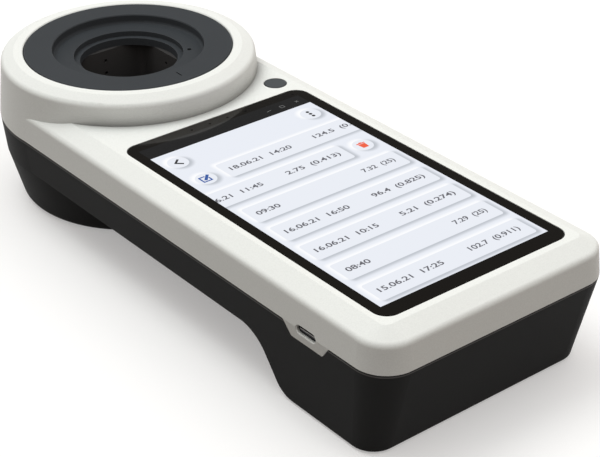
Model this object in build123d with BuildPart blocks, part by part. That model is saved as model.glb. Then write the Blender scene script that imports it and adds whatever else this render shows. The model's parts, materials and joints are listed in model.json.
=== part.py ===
"""Bench photometer: a long two-part housing with a round measuring head.

Millimetres, +Z up. The origin lies on the rest plane, under the axis of the
measuring well. -Y runs from the head to the user, -X is the side of the port.
"""
from build123d import *
from math import cos, pi, radians, sin, sqrt, tan
import os

os.makedirs("parts", exist_ok=True)

# Heights of the housing
foot_rise = 0.5
shell_height = 42.5
upper_depth = 11.9
head_rise = 9.1
waist_rise = 18.0

# Plan of the housing where the two shells meet
front_reach = 185.0
front_corner = 10.9
head_overhang = 0.15

# Slopes of the moulded walls, in degrees from upright
upper_draft = 5.5
lower_draft = 5.8
front_draft = 14.0
bowl_draft = 14.9

# Edges and walls of the housing
deck_slope = 24.0
deck_corner = 2.4
eave_radius = 2.0
floor_corner = 7.7
floor_radius = 1.0
bowl_radius = 3.2
arch_slope = 60.5
arch_radius = 12.3
arch_toe_radius = 8.0
rim_bevel = 0.35
head_flat = 3.2
wall = 2.4
rib_thickness = 1.6
rib_height = 2.5
root = 0.3
past = 1.0
fit_gap = 0.1

# Screen, and what is left of the deck beside, before and behind it
side_border = 9.35
front_border = 9.8
glass_back = 48.6
glass_thickness = 1.1
glass_corner = 4.8
glass_gap = 0.15
glass_bevel = 0.2
deck_margin = 2.1
frame_rim = 1.2
panel_side = 2.35
panel_end = 2.8
panel_thickness = 2.5
panel_gap = 0.35
adhesive_thickness = 0.3
adhesive_inset = 0.3
tray_thickness = 0.8
tray_overlap = 3.0
tray_cut = 10.0
tray_screw_end = 20.5

# Head ring and its seat for adapters: widths of the steps round the well, and their depths
well_rim = 1.55
seat_ledge = 2.0
recess_ledge = 7.2
ring_face = 9.7
head_border = 9.65
ring_gap = 0.3
ring_flange = 3.6
ring_flange_thickness = 1.8
ring_bevel = 0.3
ring_screw_count = 6
gasket_thickness = 0.3
head_lid = 4.4
opening_bevel = 0.3
recess_depth = 3.2
recess_fillet = 1.0
seat_depth = 1.8
well_depth = 2.6
tick_length = 3.4
tick_width = 0.5
tick_inset = 5.5
dot_diameter = 1.6
dot_inset = 5.1
dot_angle = -30.0
mark_depth = 0.3

# Measuring chamber under the ring
chamber_side = 30.5
chamber_corner = 2.5
chamber_wall = 4.2
chamber_height = 37.0
chamber_base = 3.0
chamber_flange_rim = 1.0
chamber_flange_thickness = 1.6
chamber_screw_x = 11.3
chamber_screw_gap = 1.7
chamber_pad_margin = 2.5
upper_beam = 11.5
lower_beam = 16.2
pinhole = 1.3
window_diameter = 3.2
window_thickness = 1.0

# Holders and boards of the light beams
holder_width = 14.0
holder_depth = 7.0
holder_height = 9.4
emitter_diameter = 3.0
emitter_length = 4.6
emitter_dome = 1.2
receiver_length = 2.0
beam_board_width = 16.0
beam_board_height = 12.0
beam_board_thickness = 1.2
beam_screw_spacing = 9.8

# Power button
button_side = 13.3
button_to_glass = 7.6
button_diameter = 7.4
button_gap = 0.3
button_proud = 0.2
button_edge = 0.3
button_travel = 0.6
button_collar = 0.9
collar_thickness = 0.8
plunger_diameter = 3.4
plunger_length = 3.1
plunger_bite = 1.2
plunger_clearance = 0.3
switch_size = 6.0
switch_height = 3.5
switch_board_thickness = 1.0
switch_board_width = 10.0
switch_post_spacing = 14.4

# Port and the tab around it
port_front = 32.1
port_drop = 12.2
port_width = 8.94
port_height = 3.26
port_depth = 7.3
port_sheet = 0.32
port_cavity = 6.3
port_lead = 0.45
port_setback = 1.35
tongue_width = 6.7
tongue_thickness = 0.7
tongue_length = 5.2
tab_top = 20.2
tab_bottom = 13.8
tab_depth = 4.3
tab_corner = 1.1
tab_flare = 4.0
tab_thickness = 1.1
port_board_inset = 4.2
port_board_length = 14.0
port_board_width = 15.0
port_board_thickness = 1.0
port_screw_spacing = 10.0
port_screw_inset = 3.0
shelf_margin = 1.0
shelf_thickness = 2.0
shelf_drop = 8.0
gasket_rim = 0.8
gasket_gap = 0.4

# Power pack and its strap
pack_diameter = 18.6
pack_width = 37.4
pack_side_gap = 12.6
pack_front_gap = 9.7
pack_back_gap = 10.3
pack_gap = 0.2
pad_thickness = 1.0
pad_length = 28.0
cradle_spacing = 40.0
cradle_trim = 2.0
cradle_drop = 4.6
strap_thickness = 1.0
strap_width = 12.0
strap_corner = 1.1
strap_front_gap = 2.6
strap_back_gap = 3.4

# Main board: what it leaves free at the sides, the front end of the case and the well
board_side = 12.2
board_front_gap = 49.0
board_to_well = 56.0
board_thickness = 1.6
board_lift = 12.7
board_post_inset = 4.0
board_post_end = 15.0
board_corner = 1.4
chip_width = 9.4
chip_length = 10.0
chip_height = 1.2
chip_column = 16.5
chip_row = 16.0
radio_width = 18.0
radio_length = 13.0
radio_height = 2.4
radio_corner = 1.2
socket_width = 20.0
socket_length = 4.0
socket_height = 1.2
ribbon_width = 18.0
ribbon_thickness = 0.3
ribbon_reach = 10.0

# Seal, feet and fasteners
seal_inset = 0.75
seal_width = 1.0
seal_depth = 0.9
seal_stop = 1.5
foot_diameter = 12.0
foot_depth = 0.5
foot_side = 17.2
foot_front = 20.0
head_foot_x = 24.0
head_foot_y = 12.0
case_screw = 3.0
case_screw_head = 5.0
case_screw_head_height = 3.0
case_screw_socket = 2.9
case_screw_grip = 6.0
case_screw_bite = 6.0
case_post = 7.2
case_post_gap = 0.9
front_post_side = 7.6
front_post_end = 14.4
waist_post_side = 5.6
waist_post_gap = 32.6
head_post_gap = 1.85
small_screw = 1.6
small_screw_head = 2.8
small_screw_head_height = 0.9
small_screw_bite = 3.0
thin_screw_bite = 1.6
small_post = 4.4
screw_gap = 0.05
tip_gap = 0.2
passing_gap = 0.2
near = 0.01

# Heights and places that follow from the sizes above
floor_z = foot_rise
deck_z = floor_z + shell_height
split_z = deck_z - upper_depth
waist_z = floor_z + waist_rise
head_z = deck_z + head_rise
inner_floor_z = floor_z + wall
inner_waist_z = waist_z + wall
upper_lean = tan(radians(upper_draft))
lower_lean = tan(radians(lower_draft))
deck_pitch = tan(radians(deck_slope))

# From the vial outward: chamber, well, seat, recess, ring, head, and the width of the body
chamber_half = chamber_side / 2 + chamber_wall
chamber_flange = (chamber_half - chamber_corner) * sqrt(2) + chamber_corner + chamber_flange_rim
well_radius = chamber_side / 2 + well_rim
seat_radius = well_radius + seat_ledge
recess_radius = seat_radius + recess_ledge
ring_radius = recess_radius + ring_face
head_radius = ring_radius + head_border
half_width = head_radius - head_overhang

glass_width = 2 * (half_width - side_border)
glass_length = front_reach - front_border - glass_back
screen_y = -glass_back - glass_length / 2
panel_width = glass_width - 2 * panel_side
panel_length = glass_length - 2 * panel_end
deck_half = glass_width / 2 + deck_margin
glass_under_z = deck_z - glass_thickness
ledge_z = glass_under_z - adhesive_thickness
panel_z = glass_under_z - panel_thickness
tray_z = panel_z - tray_thickness
window_width = panel_width + 2 * panel_gap
window_length = panel_length + 2 * panel_gap
pocket_width = glass_width + 2 * glass_gap
pocket_length = glass_length + 2 * glass_gap

lid_z = head_z - head_lid
flange_z = lid_z - gasket_thickness
flange_under_z = flange_z - ring_flange_thickness
recess_z = head_z - recess_depth
seat_z = recess_z - seat_depth
ring_z = seat_z - well_depth
opening_radius = ring_radius + ring_gap
flange_radius = ring_radius + ring_flange
ring_screw_radius = (opening_radius + flange_radius) / 2
head_flat_radius = opening_radius + head_flat
head_inner = head_radius - wall / cos(radians(upper_draft))

chamber_floor_z = ring_z - chamber_height
chamber_under_z = chamber_floor_z - chamber_base
chamber_flange_z = ring_z - chamber_flange_thickness
upper_beam_z = head_z - upper_beam
lower_beam_z = head_z - lower_beam
holder_top_z = chamber_flange_z - fit_gap
holder_z = holder_top_z - holder_height / 2
beam_board_z = holder_top_z - beam_board_height / 2
beam_board_distance = chamber_half + holder_depth

button_x = half_width - button_side
button_y = button_to_glass - glass_back
collar_top_z = deck_z - wall - fit_gap
collar_under_z = collar_top_z - collar_thickness
plunger_under_z = collar_under_z - plunger_length
switch_top_z = plunger_under_z + plunger_bite
switch_board_z = switch_top_z - switch_height

port_y = port_front - front_reach
port_z = deck_z - port_drop
port_x = port_setback - half_width
mouth_width = port_width - 2 * port_sheet
mouth_height = port_height - 2 * port_sheet
port_board_top = port_z - port_height / 2
shelf_z = port_board_top - port_board_thickness
port_board_x = port_board_inset - half_width

pack_length = 2 * (half_width - pack_side_gap)
pack_y = pack_front_gap + pack_width / 2 - front_reach
pack_z = inner_floor_z + pad_thickness + pack_diameter / 2
arch_front = front_reach - pack_front_gap - pack_width - pack_back_gap
strap_z = pack_z + pack_diameter / 2 + pack_gap
strap_front = pack_y - pack_width / 2 - strap_front_gap
strap_back = pack_y + pack_width / 2 + strap_back_gap

board_width = 2 * (half_width - board_side)
board_length = front_reach - board_front_gap - board_to_well
board_y = -board_to_well - board_length / 2
board_z = inner_waist_z + board_lift
board_top_z = board_z + board_thickness
board_front = board_y - board_length / 2
board_post_x = board_width / 2 - board_post_inset
board_post_y = board_length / 2 - board_post_end
socket_end = board_front + 3 * socket_length / 2
chip_room = -board_to_well - radio_length - socket_end

case_seat_z = split_z - case_screw_grip
case_pilot = case_screw + 2 * screw_gap
case_passage = case_screw + 2 * passing_gap
case_bore = case_screw_head + 2 * passing_gap
small_pilot = small_screw + 2 * screw_gap
small_passage = small_screw + 2 * passing_gap

# Case screws: x, y, underside of the lower shell there, top of the upper post
front_post = (half_width - front_post_side, front_post_end - front_reach)
waist_post = (half_width - waist_post_side, waist_post_gap - arch_front)
head_post_radius = chamber_flange + case_post / 2 + head_post_gap
head_post = (head_post_radius * cos(pi / 4), head_post_radius * sin(pi / 4))
head_post_top = ring_z - case_post_gap
case_places = [
    (side * x, y, under, top)
    for (x, y), under, top in (
        (front_post, floor_z, panel_z + root),
        (waist_post, waist_z, tray_z - root),
        (head_post, floor_z, head_post_top),
    )
    for side in (-1, 1)
]

# Places of the feet: two near the front corners, two under the head
foot_places = [
    (side * x, y)
    for x, y in ((half_width - foot_side, foot_front - front_reach), (head_foot_x, head_foot_y))
    for side in (-1, 1)
]

# Places of the small screws
tray_screw_places = [
    (side * (window_width + tray_overlap) / 2,
     screen_y + along * (panel_length / 2 - tray_screw_end))
    for side in (-1, 1)
    for along in (-1, 0, 1)
]
board_screw_places = [
    (side * board_post_x, board_y + along * board_post_y)
    for side in (-1, 1)
    for along in (-1, 1)
]
strap_screw_places = [(0, strap_front), (0, strap_back)]
switch_screw_places = [(button_x + side * switch_post_spacing / 2, button_y) for side in (-1, 1)]
port_screw_places = [
    (port_board_x + port_board_length - port_screw_inset, port_y + side * port_screw_spacing / 2)
    for side in (-1, 1)
]
ring_screw_places = [
    (ring_screw_radius * cos(radians(turn)), ring_screw_radius * sin(radians(turn)))
    for turn in (360 * (count + 0.5) / ring_screw_count for count in range(ring_screw_count))
]
chamber_screw_places = [
    (side * chamber_screw_x, along * (chamber_half + chamber_screw_gap))
    for side in (-1, 1)
    for along in (-1, 1)
]

# Beams: name, turn of the holder about the well, heights of its bores, what sits in them
beams = (
    ("source", 90, (upper_beam_z, lower_beam_z), "led"),
    ("receiver", -90, (upper_beam_z, lower_beam_z), "photodiode"),
    ("scatter", 0, (upper_beam_z,), "photodiode"),
)


def rounded_plan(half, reach, corner):
    """Adds a rectangle from the well axis to the front, with two rounded corners."""
    with BuildSketch(mode=Mode.PRIVATE) as plan:
        with Locations((0, -reach / 2)):
            Rectangle(2 * half, reach)
        fillet(plan.vertices().group_by(Axis.Y)[0], corner)
    add(plan.sketch)


def shell_plan(inset):
    """Adds the whole outline where the shells meet, drawn inward by inset."""
    rounded_plan(half_width - inset, front_reach - inset, front_corner - inset)
    Circle(head_radius - inset)


def plan_loft(levels):
    """Ruled solid through levels of height, half width, reach and corner radius."""
    with BuildPart() as form:
        for height, half, reach, corner in levels:
            with BuildSketch(Plane.XY.offset(height)):
                rounded_plan(half, reach, corner)
        loft(ruled=True)
    return form.part


def deck_form(inset):
    """Body of the upper shell: drafted walls, sloped border and flat deck."""
    side = inset / cos(radians(upper_draft))
    top_z = deck_z - inset
    top_in = half_width - deck_half + inset * tan(radians(deck_slope / 2))
    rise = top_z - split_z
    drop = (top_in - side - rise * upper_lean) / (1 / deck_pitch - upper_lean)
    eave_z = top_z - drop
    eave_in = side + (rise - drop) * upper_lean
    return plan_loft([
        (split_z, half_width - side, front_reach - side, front_corner - side),
        (eave_z, half_width - eave_in, front_reach - eave_in, front_corner - eave_in),
        (top_z, half_width - top_in, front_reach - top_in, deck_corner),
    ]), eave_z


def head_form():
    """Round head of the upper shell with its sloped border."""
    rise = head_z - split_z
    drop = (head_radius - rise * upper_lean - head_flat_radius) / (1 / deck_pitch - upper_lean)
    eave = head_flat_radius + drop / deck_pitch
    with BuildPart() as form:
        with BuildSketch(Plane.XZ) as profile:
            with BuildLine():
                Polyline(
                    (0, split_z), (head_radius, split_z), (eave, head_z - drop),
                    (head_flat_radius, head_z), (0, head_z), close=True,
                )
            make_face()
            fillet(profile.vertices().sort_by(Axis.X)[-2], eave_radius)
        revolve(axis=Axis.Z)
    return form.part


def lower_body(inset, bevel=0.0):
    """Body of the lower shell before the arch is cut, drawn inward by inset."""
    front_lean = tan(radians(front_draft))
    low = floor_z + inset

    def level(height, extra):
        drop = split_z - height
        side = drop * lower_lean + inset / cos(radians(lower_draft)) + extra
        front = drop * front_lean + inset / cos(radians(front_draft)) + extra
        share = drop / (split_z - floor_z)
        corner = front_corner + (floor_corner - front_corner) * share - inset - extra
        return height, half_width - side, front_reach - front, corner

    levels = [level(low, 0), level(split_z - bevel, 0)]
    if bevel:
        levels.append(level(split_z, bevel))
    return plan_loft(levels)


def arch_space(inset):
    """Space under the waist and the floor, grown by inset into the shell."""
    slope = radians(arch_slope)
    shift = inset / sin(slope)
    top = waist_z + inset
    low = floor_z + inset
    start = arch_front + shift + inset / tan(slope)
    foot = arch_front + shift + (waist_z - low) / tan(slope)
    deep = floor_z - past
    far = front_reach + past
    with BuildPart() as space:
        with BuildSketch(Plane.YZ) as side:
            with BuildLine():
                Polyline(
                    (past, deep), (past, top), (inset / tan(slope) - start, top),
                    (-foot, low), (-far, low), (-far, deep), close=True,
                )
            make_face()
            bend = side.vertices().group_by(Axis.Y)[-1].sort_by(Axis.X)[0]
            fillet(bend, arch_radius + inset)
            toe = side.vertices().group_by(Axis.Y)[1].sort_by(Axis.X)[-1]
            fillet(toe, arch_toe_radius - inset)
        extrude(amount=2 * half_width, both=True)
    return space.part


def bowl_form(inset, bevel=0.0):
    """Round bowl of the lower shell under the head, drawn inward by inset."""
    side = inset / cos(radians(lower_draft))
    knee = head_radius - (split_z - waist_z) * lower_lean
    fall = waist_z - floor_z - inset
    foot = knee - fall * tan(radians(bowl_draft)) - inset / cos(radians(bowl_draft))
    rim = head_radius - side
    low = floor_z + inset
    corners = [(rim, split_z)]
    if bevel:
        corners = [(rim - bevel, split_z), (rim - bevel * lower_lean, split_z - bevel)]
    with BuildPart() as form:
        with BuildSketch(Plane.XZ) as profile:
            with BuildLine():
                Polyline((0, split_z), *corners, (knee - side, waist_z), (foot, low), (0, low),
                         close=True)
            make_face()
            fillet(profile.vertices().group_by(Axis.Y)[0].sort_by(Axis.X)[-1], bowl_radius - inset)
        revolve(axis=Axis.Z)
    return form.part


def tab_prism(grow):
    """Outline of the tab around the port, grown by grow and run through the wall."""
    mouth = tab_top / 2 + tab_flare
    with BuildPart() as prism:
        with BuildSketch(Plane.YZ.offset(-half_width - past)) as outline:
            with BuildLine():
                Polyline(
                    (port_y - mouth, split_z + past), (port_y - mouth, split_z),
                    (port_y - tab_top / 2, split_z), (port_y - tab_bottom / 2, split_z - tab_depth),
                    (port_y + tab_bottom / 2, split_z - tab_depth), (port_y + tab_top / 2, split_z),
                    (port_y + mouth, split_z), (port_y + mouth, split_z + past), close=True,
                )
            make_face()
            inner = [v for v in outline.vertices() if abs(v.X - port_y) < mouth - near]
            fillet(inner, tab_corner)
            if grow:
                offset(amount=grow)
        extrude(amount=wall + 2 * past)
    return prism.part


def port_prism(width, height, start, depth):
    """Rounded bar through the port, from the plane x = start inward by depth."""
    with BuildPart() as prism:
        with BuildSketch(Plane.YZ.offset(start)):
            with Locations((port_y, port_z)):
                SlotOverall(width, height)
        extrude(amount=depth)
    return prism.part


def screw_solid(seat, drive, size, head, head_height, length, socket=0.0):
    """Screw whose head rests on the point seat and whose shank runs along drive."""
    face = Plane(origin=seat, z_dir=drive)
    with BuildPart() as screw:
        with BuildSketch(face):
            Circle(size / 2)
        extrude(amount=length)
        with BuildSketch(face):
            Circle(head / 2)
        extrude(amount=-head_height)
        with BuildSketch(face.offset(-head_height)):
            RegularPolygon((socket or head / 2) / 2, 6)
        extrude(amount=head_height / 2, mode=Mode.SUBTRACT)
    return screw.part


def small_screws(places, height, length, up=False):
    """Adds small upright screws whose heads rest at height."""
    drive = (0, 0, 1) if up else (0, 0, -1)
    for x, y in places:
        add(screw_solid((x, y, height), drive, small_screw, small_screw_head,
                        small_screw_head_height, length))


def pillar(x, y, low, high, diameter):
    """Upright round bar, used for posts and for bores."""
    with BuildPart() as bar:
        with BuildSketch(Plane.XY.offset(low)):
            with Locations((x, y)):
                Circle(diameter / 2)
        extrude(amount=high - low)
    return bar.part


def cut_bores(places, low, high, diameter):
    """Cuts an upright round hole at each place."""
    for x, y in places:
        add(pillar(x, y, low, high, diameter), mode=Mode.SUBTRACT)


def slab(x, y, width, length, low, high, corner=0.0):
    """Upright block about x, y, with rounded corners where corner is given."""
    with BuildPart() as block:
        with BuildSketch(Plane.XY.offset(low)):
            with Locations((x, y)):
                if corner:
                    RectangleRounded(width, length, corner)
                else:
                    Rectangle(width, length)
        extrude(amount=high - low)
    return block.part


def seal_ring(gap):
    """Ring that follows the rim of the shells and stops at the tab, slimmer by gap."""
    with BuildPart() as ring:
        with BuildSketch(Plane.XY.offset(split_z - seal_depth)):
            shell_plan(seal_inset + gap)
        extrude(amount=seal_depth)
        with BuildSketch(Plane.XY.offset(split_z - seal_depth)):
            shell_plan(seal_inset + seal_width - gap)
        extrude(amount=seal_depth, mode=Mode.SUBTRACT)
        add(tab_prism(seal_stop + gap), mode=Mode.SUBTRACT)
    return ring.part


def beam_plane(turn, distance):
    """Upright plane that faces outward at a distance from the well; its y is up."""
    out = (cos(radians(turn)), sin(radians(turn)), 0)
    along = (-sin(radians(turn)), cos(radians(turn)), 0)
    return Plane(origin=(distance * out[0], distance * out[1], 0), x_dir=along, z_dir=out)


def beam_bores(turn, heights, distance, depth, diameter):
    """Round bars at the beam heights, from distance outward by depth."""
    with BuildPart() as bores:
        with BuildSketch(beam_plane(turn, distance)):
            with Locations(*[(0, height) for height in heights]):
                Circle(diameter / 2)
        extrude(amount=depth)
    return bores.part


def beam_screw_bores(turn, distance, depth, diameter):
    """Round bars at the two screws of a beam holder, from distance outward by depth."""
    with BuildPart() as bores:
        with BuildSketch(beam_plane(turn, distance)):
            with Locations((-beam_screw_spacing / 2, holder_z), (beam_screw_spacing / 2, holder_z)):
                Circle(diameter / 2)
        extrude(amount=depth)
    return bores.part


# Forms that the two shells are cut from
deck, eave_z = deck_form(0)
deck_hollow, _ = deck_form(wall)

with BuildPart() as head_hollow:
    with BuildSketch(Plane.XZ):
        with BuildLine():
            Polyline(
                (0, split_z), (head_inner, split_z),
                (head_inner - (lid_z - split_z) * upper_lean, lid_z), (0, lid_z), close=True,
            )
        make_face()
    revolve(axis=Axis.Z)

with BuildPart() as lower_hollow:
    add(lower_body(wall))
    add(arch_space(wall), mode=Mode.SUBTRACT)
    add(bowl_form(wall))

# Tab of the upper shell that drops into the lower one, and the pocket that takes it
with BuildPart() as tab:
    add(tab_prism(0))
    add(lower_body(0), mode=Mode.INTERSECT)
    add(lower_body(tab_thickness), mode=Mode.SUBTRACT)

with BuildPart() as tab_pocket:
    add(tab_prism(fit_gap))
    add(lower_body(tab_thickness + fit_gap), mode=Mode.SUBTRACT)

# Upper shell: drafted body and round head, open below
with BuildPart() as upper_shell:
    add(deck)
    eaves = upper_shell.edges().filter_by_position(Axis.Z, eave_z - near, eave_z + near)
    fillet(eaves.filter_by(lambda edge: edge.center().Y < -past), eave_radius)
    add(head_form())
    add(deck_hollow, mode=Mode.SUBTRACT)
    add(head_hollow.part, mode=Mode.SUBTRACT)
    # Frame that carries the glass
    add(slab(0, screen_y, pocket_width + 2 * frame_rim, pocket_length + 2 * frame_rim,
             panel_z, deck_z - wall / 2, glass_corner + frame_rim))
    # Posts for the case screws, with webs that tie those in the head to its wall
    for x, y, under, top in case_places:
        add(pillar(x, y, split_z, top, case_post))
    web_length = head_inner - abs(Vector(*head_post))
    for side in (-1, 1):
        web = Plane(origin=(0, 0, split_z), x_dir=(side * head_post[0], head_post[1], 0))
        with BuildSketch(web):
            with Locations((head_inner - web_length / 2, 0)):
                Rectangle(web_length, rib_thickness)
        extrude(amount=head_post_top - split_z)
    case_spots = [(x, y) for x, y, under, top in case_places]
    cut_bores(case_spots, split_z - past, split_z + case_screw_bite + tip_gap, case_pilot)
    # Pocket of the glass and window of the display
    add(slab(0, screen_y, pocket_width, pocket_length, ledge_z, deck_z + past,
             glass_corner + glass_gap), mode=Mode.SUBTRACT)
    add(slab(0, screen_y, window_width, window_length, tray_z, deck_z), mode=Mode.SUBTRACT)
    cut_bores(tray_screw_places, panel_z - past, panel_z + thin_screw_bite + tip_gap, small_pilot)
    # Head opening with a bevelled edge, and the pilot holes for the ring screws
    add(pillar(0, 0, lid_z - past, head_z + past, 2 * opening_radius), mode=Mode.SUBTRACT)
    head_edges = upper_shell.edges().filter_by(GeomType.CIRCLE)
    head_edges = head_edges.filter_by_position(Axis.Z, head_z - near, head_z + near)
    chamfer(head_edges.sort_by(SortBy.RADIUS)[0], opening_bevel)
    cut_bores(ring_screw_places, lid_z - past, lid_z + small_screw_bite + tip_gap, small_pilot)
    # Button hole and the posts of its switch board
    add(pillar(button_x, button_y, split_z, deck_z + past, button_diameter + 2 * button_gap),
        mode=Mode.SUBTRACT)
    for x, y in switch_screw_places:
        add(pillar(x, y, switch_board_z, deck_z - wall + root, small_post))
    cut_bores(switch_screw_places, switch_board_z - past,
              switch_board_z + small_screw_bite + tip_gap, small_pilot)
    # Port: tab, mouth with a sloped lead, and the pocket of the receptacle behind it
    add(tab.part)
    add(port_prism(port_width + 2 * fit_gap, port_height + 2 * fit_gap,
                   tab_thickness - half_width, wall), mode=Mode.SUBTRACT)
    add(port_prism(mouth_width, mouth_height, -half_width - past, wall + past),
        mode=Mode.SUBTRACT)
    with BuildSketch(Plane.YZ.offset(-half_width)):
        with Locations((port_y, port_z)):
            SlotOverall(mouth_width + 2 * port_lead, mouth_height + 2 * port_lead)
    extrude(amount=port_lead, taper=45, mode=Mode.SUBTRACT)
upper_shell.part.label = "upper_shell"
export_step(upper_shell.part, "parts/upper_shell.step")

# Posts of the pack strap, kept inside the slanted walls of the front block
with BuildPart() as strap_posts:
    for x, y in strap_screw_places:
        add(pillar(x, y, floor_z, strap_z, small_post))
    add(lower_body(wall / 2), mode=Mode.INTERSECT)
    add(arch_space(wall / 2), mode=Mode.SUBTRACT)

# Lower shell: bowl under the head, thin waist and deep front block
with BuildPart() as lower_shell:
    add(lower_body(0, rim_bevel))
    add(arch_space(0), mode=Mode.SUBTRACT)
    floor_edges = lower_shell.edges().filter_by_position(Axis.Z, floor_z - 0.01, floor_z + 0.01)
    fillet(floor_edges.filter_by(lambda edge: edge.center().Y < -arch_front), floor_radius)
    add(bowl_form(0, rim_bevel))
    add(lower_hollow.part, mode=Mode.SUBTRACT)
    add(strap_posts.part)
    # Posts of the case screws and of the main board, ribs along the waist
    for x, y, under, top in case_places:
        add(pillar(x, y, under + wall / 2, split_z, case_post))
    for x, y in board_screw_places:
        add(pillar(x, y, waist_z + wall / 2, board_z, small_post))
    for side in (-1, 1):
        add(slab(side * board_post_x / 2, board_y, rib_thickness, 2 * board_post_y,
                 waist_z + wall / 2, inner_waist_z + rib_height))
    # Cradle ribs that fit the round underside of the power pack
    for side in (-1, 1):
        add(slab(side * cradle_spacing / 2, pack_y, rib_thickness, pack_width - 2 * cradle_trim,
                 floor_z + wall / 2, pack_z - cradle_drop))
    with BuildSketch(Plane.YZ.offset(-pack_length / 2)):
        with Locations((pack_y, pack_z)):
            SlotOverall(pack_width + 2 * pack_gap, pack_diameter + 2 * pack_gap)
    extrude(amount=pack_length, mode=Mode.SUBTRACT)
    # Shelf for the port board, on two gussets from the side wall
    shelf_start = wall - half_width
    shelf_end = port_board_x + port_board_length - shelf_margin
    add(slab((shelf_start + shelf_end) / 2, port_y, shelf_end - shelf_start,
             port_board_width - 2 * shelf_margin, shelf_z - shelf_thickness, shelf_z))
    with BuildSketch(Plane.XZ.offset(-port_y)):
        with BuildLine():
            Polyline(
                (shelf_start, shelf_z - root), (shelf_end, shelf_z - shelf_thickness + root),
                (shelf_start, shelf_z - shelf_drop), close=True,
            )
        make_face()
    extrude(amount=rib_thickness / 2, both=True)
    # Pocket of the tab, slot of the receptacle, groove of the seal
    add(tab_pocket.part, mode=Mode.SUBTRACT)
    add(port_prism(port_width + 2 * fit_gap, port_height + 2 * fit_gap, -half_width, wall + past),
        mode=Mode.SUBTRACT)
    add(seal_ring(0), mode=Mode.SUBTRACT)
    # Bores of the screws
    for x, y, under, top in case_places:
        add(pillar(x, y, under - past, case_seat_z, case_bore), mode=Mode.SUBTRACT)
    cut_bores(case_spots, case_seat_z - past, split_z + past, case_passage)
    for places, top in (
        (board_screw_places, board_z),
        (strap_screw_places, strap_z),
    ):
        cut_bores(places, top - small_screw_bite - tip_gap, top + past, small_pilot)
    cut_bores(port_screw_places, shelf_z - thin_screw_bite - tip_gap, shelf_z + past, small_pilot)
    # Pockets of the feet
    cut_bores(foot_places, floor_z - past, floor_z + foot_depth, foot_diameter + 2 * fit_gap)
lower_shell.part.label = "lower_shell"
export_step(lower_shell.part, "parts/lower_shell.step")

# Seal that lies in the groove of the lower rim
with BuildPart() as shell_seal:
    add(seal_ring(screw_gap))
shell_seal.part.label = "shell_seal"
export_step(shell_seal.part, "parts/shell_seal.step")

# Rubber feet in their pockets
with BuildPart() as rubber_feet:
    with BuildSketch(Plane.XY):
        with Locations(*foot_places):
            Circle(foot_diameter / 2)
    extrude(amount=foot_rise + foot_depth)
    fillet(rubber_feet.edges().group_by(Axis.Z)[0], foot_rise / 2)
rubber_feet.part.label = "rubber_feet"
export_step(rubber_feet.part, "parts/rubber_feet.step")

# Screws that hold the two shells together, driven from below
with BuildPart() as case_screws:
    for x, y in case_spots:
        add(screw_solid((x, y, case_seat_z), (0, 0, 1), case_screw, case_screw_head,
                        case_screw_head_height, case_screw_grip + case_screw_bite,
                        case_screw_socket))
case_screws.part.label = "case_screws"
export_step(case_screws.part, "parts/case_screws.step")

# Cover glass, flush with the deck
with BuildPart() as cover_glass:
    add(slab(0, screen_y, glass_width, glass_length, glass_under_z, deck_z, glass_corner))
    chamfer(cover_glass.faces().sort_by(Axis.Z)[-1].edges(), glass_bevel)
cover_glass.part.label = "cover_glass"
export_step(cover_glass.part, "parts/cover_glass.step")

# Adhesive frame between the glass and its ledge
with BuildPart() as glass_adhesive:
    add(slab(0, screen_y, glass_width - 2 * adhesive_inset, glass_length - 2 * adhesive_inset,
             ledge_z, glass_under_z, glass_corner - adhesive_inset))
    add(slab(0, screen_y, window_width + 2 * fit_gap, window_length + 2 * fit_gap,
             ledge_z, glass_under_z), mode=Mode.SUBTRACT)
glass_adhesive.part.label = "glass_adhesive"
export_step(glass_adhesive.part, "parts/glass_adhesive.step")

# Display panel behind the glass
with BuildPart() as display_panel:
    add(slab(0, screen_y, panel_width, panel_length, panel_z, glass_under_z))
display_panel.part.label = "display_panel"
export_step(display_panel.part, "parts/display_panel.step")

# Sheet tray that holds the panel up, with its corners cut to clear the posts
with BuildPart() as display_tray:
    add(slab(0, screen_y, window_width + 2 * tray_overlap, window_length + 2 * tray_overlap,
             tray_z, panel_z))
    chamfer(display_tray.edges().filter_by(Axis.Z), tray_cut)
    cut_bores(tray_screw_places, tray_z - past, panel_z + past, small_passage)
display_tray.part.label = "display_tray"
export_step(display_tray.part, "parts/display_tray.step")

with BuildPart() as tray_screws:
    small_screws(tray_screw_places, tray_z, tray_thickness + thin_screw_bite, up=True)
tray_screws.part.label = "tray_screws"
export_step(tray_screws.part, "parts/tray_screws.step")

# Main board on its four posts
with BuildPart() as main_board:
    add(slab(0, board_y, board_width, board_length, board_z, board_top_z))
    chamfer(main_board.edges().filter_by(Axis.Z), board_corner)
    cut_bores(board_screw_places, board_z - past, board_top_z + past, small_passage)
main_board.part.label = "main_board"
export_step(main_board.part, "parts/main_board.step")

with BuildPart() as board_screws:
    small_screws(board_screw_places, board_top_z, board_thickness + small_screw_bite)
board_screws.part.label = "board_screws"
export_step(board_screws.part, "parts/board_screws.step")

# Chips in two columns between the radio module at the back and the display's socket
with BuildPart() as board_chips:
    with BuildSketch(Plane.XY.offset(board_top_z)):
        with Locations((0, socket_end + chip_room / 2)):
            with GridLocations(chip_column, chip_row, 2, int(chip_room // chip_row)):
                Rectangle(chip_width, chip_length)
    extrude(amount=chip_height)
board_chips.part.label = "board_chips"
export_step(board_chips.part, "parts/board_chips.step")

with BuildPart() as radio_module:
    add(slab(0, board_y + (board_length - radio_length) / 2, radio_width, radio_length,
             board_top_z, board_top_z + radio_height, radio_corner))
radio_module.part.label = "radio_module"
export_step(radio_module.part, "parts/radio_module.step")

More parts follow.
